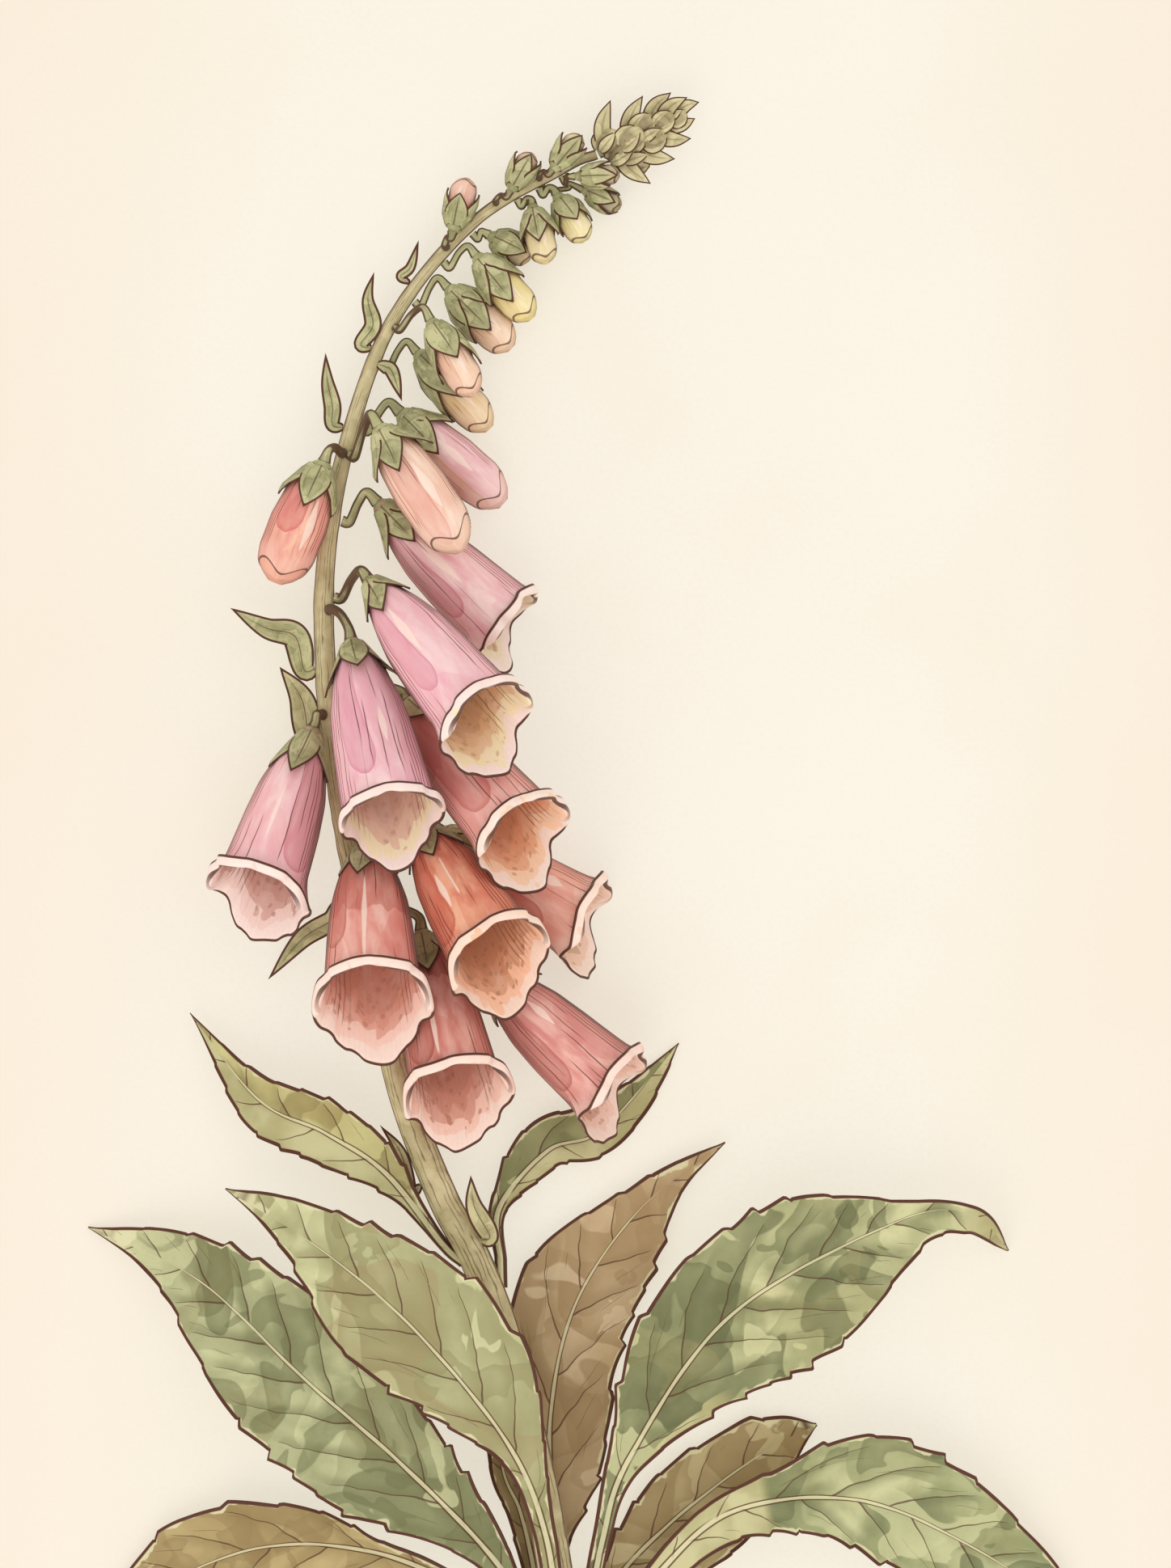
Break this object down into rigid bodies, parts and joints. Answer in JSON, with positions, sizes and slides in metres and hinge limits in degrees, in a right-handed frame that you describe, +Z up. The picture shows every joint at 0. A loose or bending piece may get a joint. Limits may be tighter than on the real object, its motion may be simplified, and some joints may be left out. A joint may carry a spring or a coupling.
{
  "type": "foxglove flower spike",
  "caption": "Cut foxglove shoot lying down: one-sided spike of pink bell flowers and green buds on an arching stem with toothed leaves at its foot.",
  "frame": {"origin": "centre of the bounding box at its bottom, on the surface that the shoot lies on", "axes": "+Y along the shoot towards its tip, +Z up from the surface, +X to the side that the bells hang to"},
  "size_m": [0.2526, 0.3904, 0.0582],
  "materials": {
    "stem": "satin",
    "corolla_a": "satin",
    "calyx": "satin",
    "corolla_b": "satin",
    "corolla_c": "satin",
    "corolla_d": "satin",
    "corolla_e": "satin",
    "corolla_f": "satin",
    "corolla_g": "satin",
    "corolla_h": "satin",
    "corolla_i": "satin",
    "corolla_j": "satin",
    "corolla_k": "satin",
    "corolla_l": "satin",
    "corolla_m": "satin",
    "bud_n": "satin",
    "bud_o": "satin",
    "bud_p": "satin",
    "bud_q": "satin",
    "bud_r": "satin",
    "bud_s": "satin",
    "bud_t": "satin",
    "bud_u": "satin",
    "bud_v": "satin",
    "bud_w": "satin",
    "bud_x": "satin",
    "bud_y": "satin",
    "tip_cluster": "satin",
    "leaf_a": "satin",
    "leaf_b": "satin",
    "leaf_c": "satin",
    "leaf_d": "satin",
    "leaf_e": "satin",
    "leaf_f": "satin",
    "leaf_g": "satin",
    "leaf_h": "satin",
    "stem_leaf": "satin",
    "bract": "satin"
  },
  "bodies": {
    "root": {"stem": "stem", "corolla_a": "corolla_a", "calyx_a": "calyx", "corolla_b": "corolla_b", "calyx_b": "calyx", "corolla_c": "corolla_c", "calyx_c": "calyx", "corolla_d": "corolla_d", "calyx_d": "calyx", "corolla_e": "corolla_e", "calyx_e": "calyx", "corolla_f": "corolla_f", "calyx_f": "calyx", "corolla_g": "corolla_g", "calyx_g": "calyx", "corolla_h": "corolla_h", "calyx_h": "calyx", "corolla_i": "corolla_i", "calyx_i": "calyx", "corolla_j": "corolla_j", "calyx_j": "calyx", "corolla_k": "corolla_k", "calyx_k": "calyx", "corolla_l": "corolla_l", "calyx_l": "calyx", "corolla_m": "corolla_m", "calyx_m": "calyx", "bud_n": "bud_n", "bud_o": "bud_o", "bud_p": "bud_p", "bud_q": "bud_q", "bud_r": "bud_r", "bud_s": "bud_s", "bud_t": "bud_t", "bud_u": "bud_u", "bud_v": "bud_v", "bud_w": "bud_w", "bud_x": "bud_x", "bud_y": "bud_y", "tip_cluster": "tip_cluster", "leaf_a": "leaf_a", "leaf_b": "leaf_b", "leaf_c": "leaf_c", "leaf_d": "leaf_d", "leaf_e": "leaf_e", "leaf_f": "leaf_f", "leaf_g": "leaf_g", "leaf_h": "leaf_h", "stem_leaf_left": "stem_leaf", "stem_leaf_right": "stem_leaf", "bract_a": "bract", "bract_b": "bract", "bract_c": "bract", "bract_d": "bract", "bract_e": "bract", "bract_f": "bract", "bract_g": "bract", "bract_h": "bract", "bract_i": "bract"}
  },
  "joints": []
}
